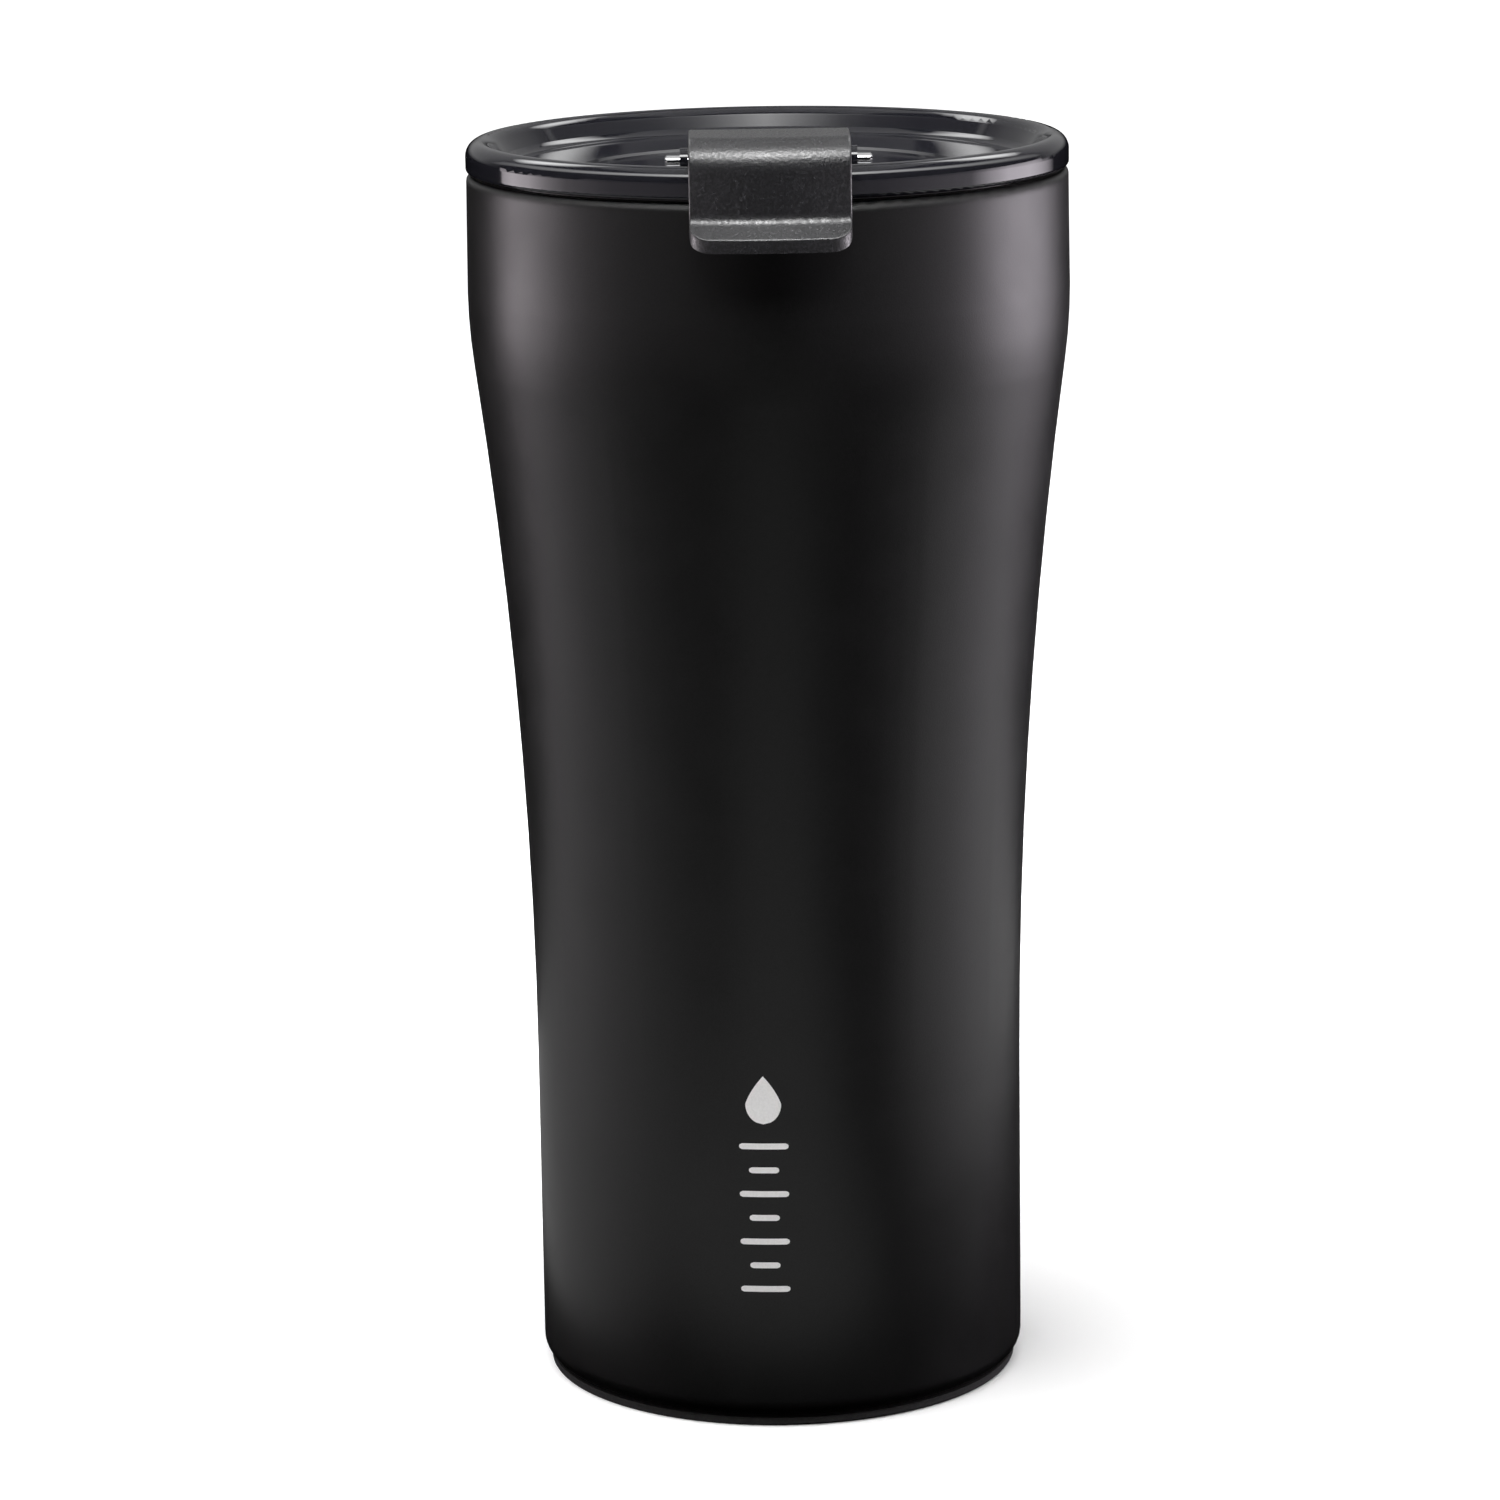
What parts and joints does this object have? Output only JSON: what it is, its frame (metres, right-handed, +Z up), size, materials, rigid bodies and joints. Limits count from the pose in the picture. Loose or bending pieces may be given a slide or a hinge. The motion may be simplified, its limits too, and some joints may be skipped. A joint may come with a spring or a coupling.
{
  "type": "insulated travel mug",
  "caption": "Vacuum-walled steel travel mug, black coated and tapered to fit a cup holder, with a press-in dished lid and a flip-up drinking tab on a steel hinge pin.",
  "frame": {"origin": "middle of the base pad's underside, on the table", "axes": "+Z up along the mug's axis; the drinking tab is towards -Y; +X to the right seen from the tab's side"},
  "size_m": [0.088, 0.0932, 0.1895],
  "materials": {
    "black_coat": "matte black powder coat with a very fine grain",
    "bare_steel": "bare pressed stainless steel",
    "lined_steel": "thin pale ceramic coating on stainless steel",
    "copper": "bright copper foil",
    "getter_alloy": "pressed grey getter powder",
    "seal_glass": "fused solder glass",
    "pad_rubber": "matte black rubber",
    "adhesive": "double-sided adhesive film",
    "smoke_plastic": "glossy dark smoke plastic",
    "seal_silicone": "soft dark silicone",
    "polished_steel": "polished stainless steel",
    "grained_plastic": "matte black plastic with a fine speckled grain",
    "stopper_silicone": "soft dark silicone"
  },
  "bodies": {
    "cup": {"outer_shell": "black_coat", "shell_base_disc": "bare_steel", "inner_liner": "lined_steel", "copper_foil": "copper", "getter_holder": "bare_steel", "getter_pellet": "getter_alloy", "vacuum_seal_bead": "seal_glass", "base_pad": "pad_rubber", "pad_adhesive": "adhesive"},
    "lid": {"lid_body": "smoke_plastic", "lid_seal": "seal_silicone", "hinge_pin": "polished_steel"},
    "tab": {"drink_tab": "grained_plastic", "tab_stopper": "stopper_silicone"}
  },
  "joints": [
    {"name": "lid_lift", "type": "slide", "parent": "cup", "child": "lid", "axis": [0, 0, 1], "range_m": [0, 0.05]},
    {"name": "tab_flip", "type": "hinge", "parent": "lid", "child": "tab", "pos_m": [0, -0.025, 0.1844], "axis": [-1, 0, 0], "range_deg": [0, 150]}
  ]
}
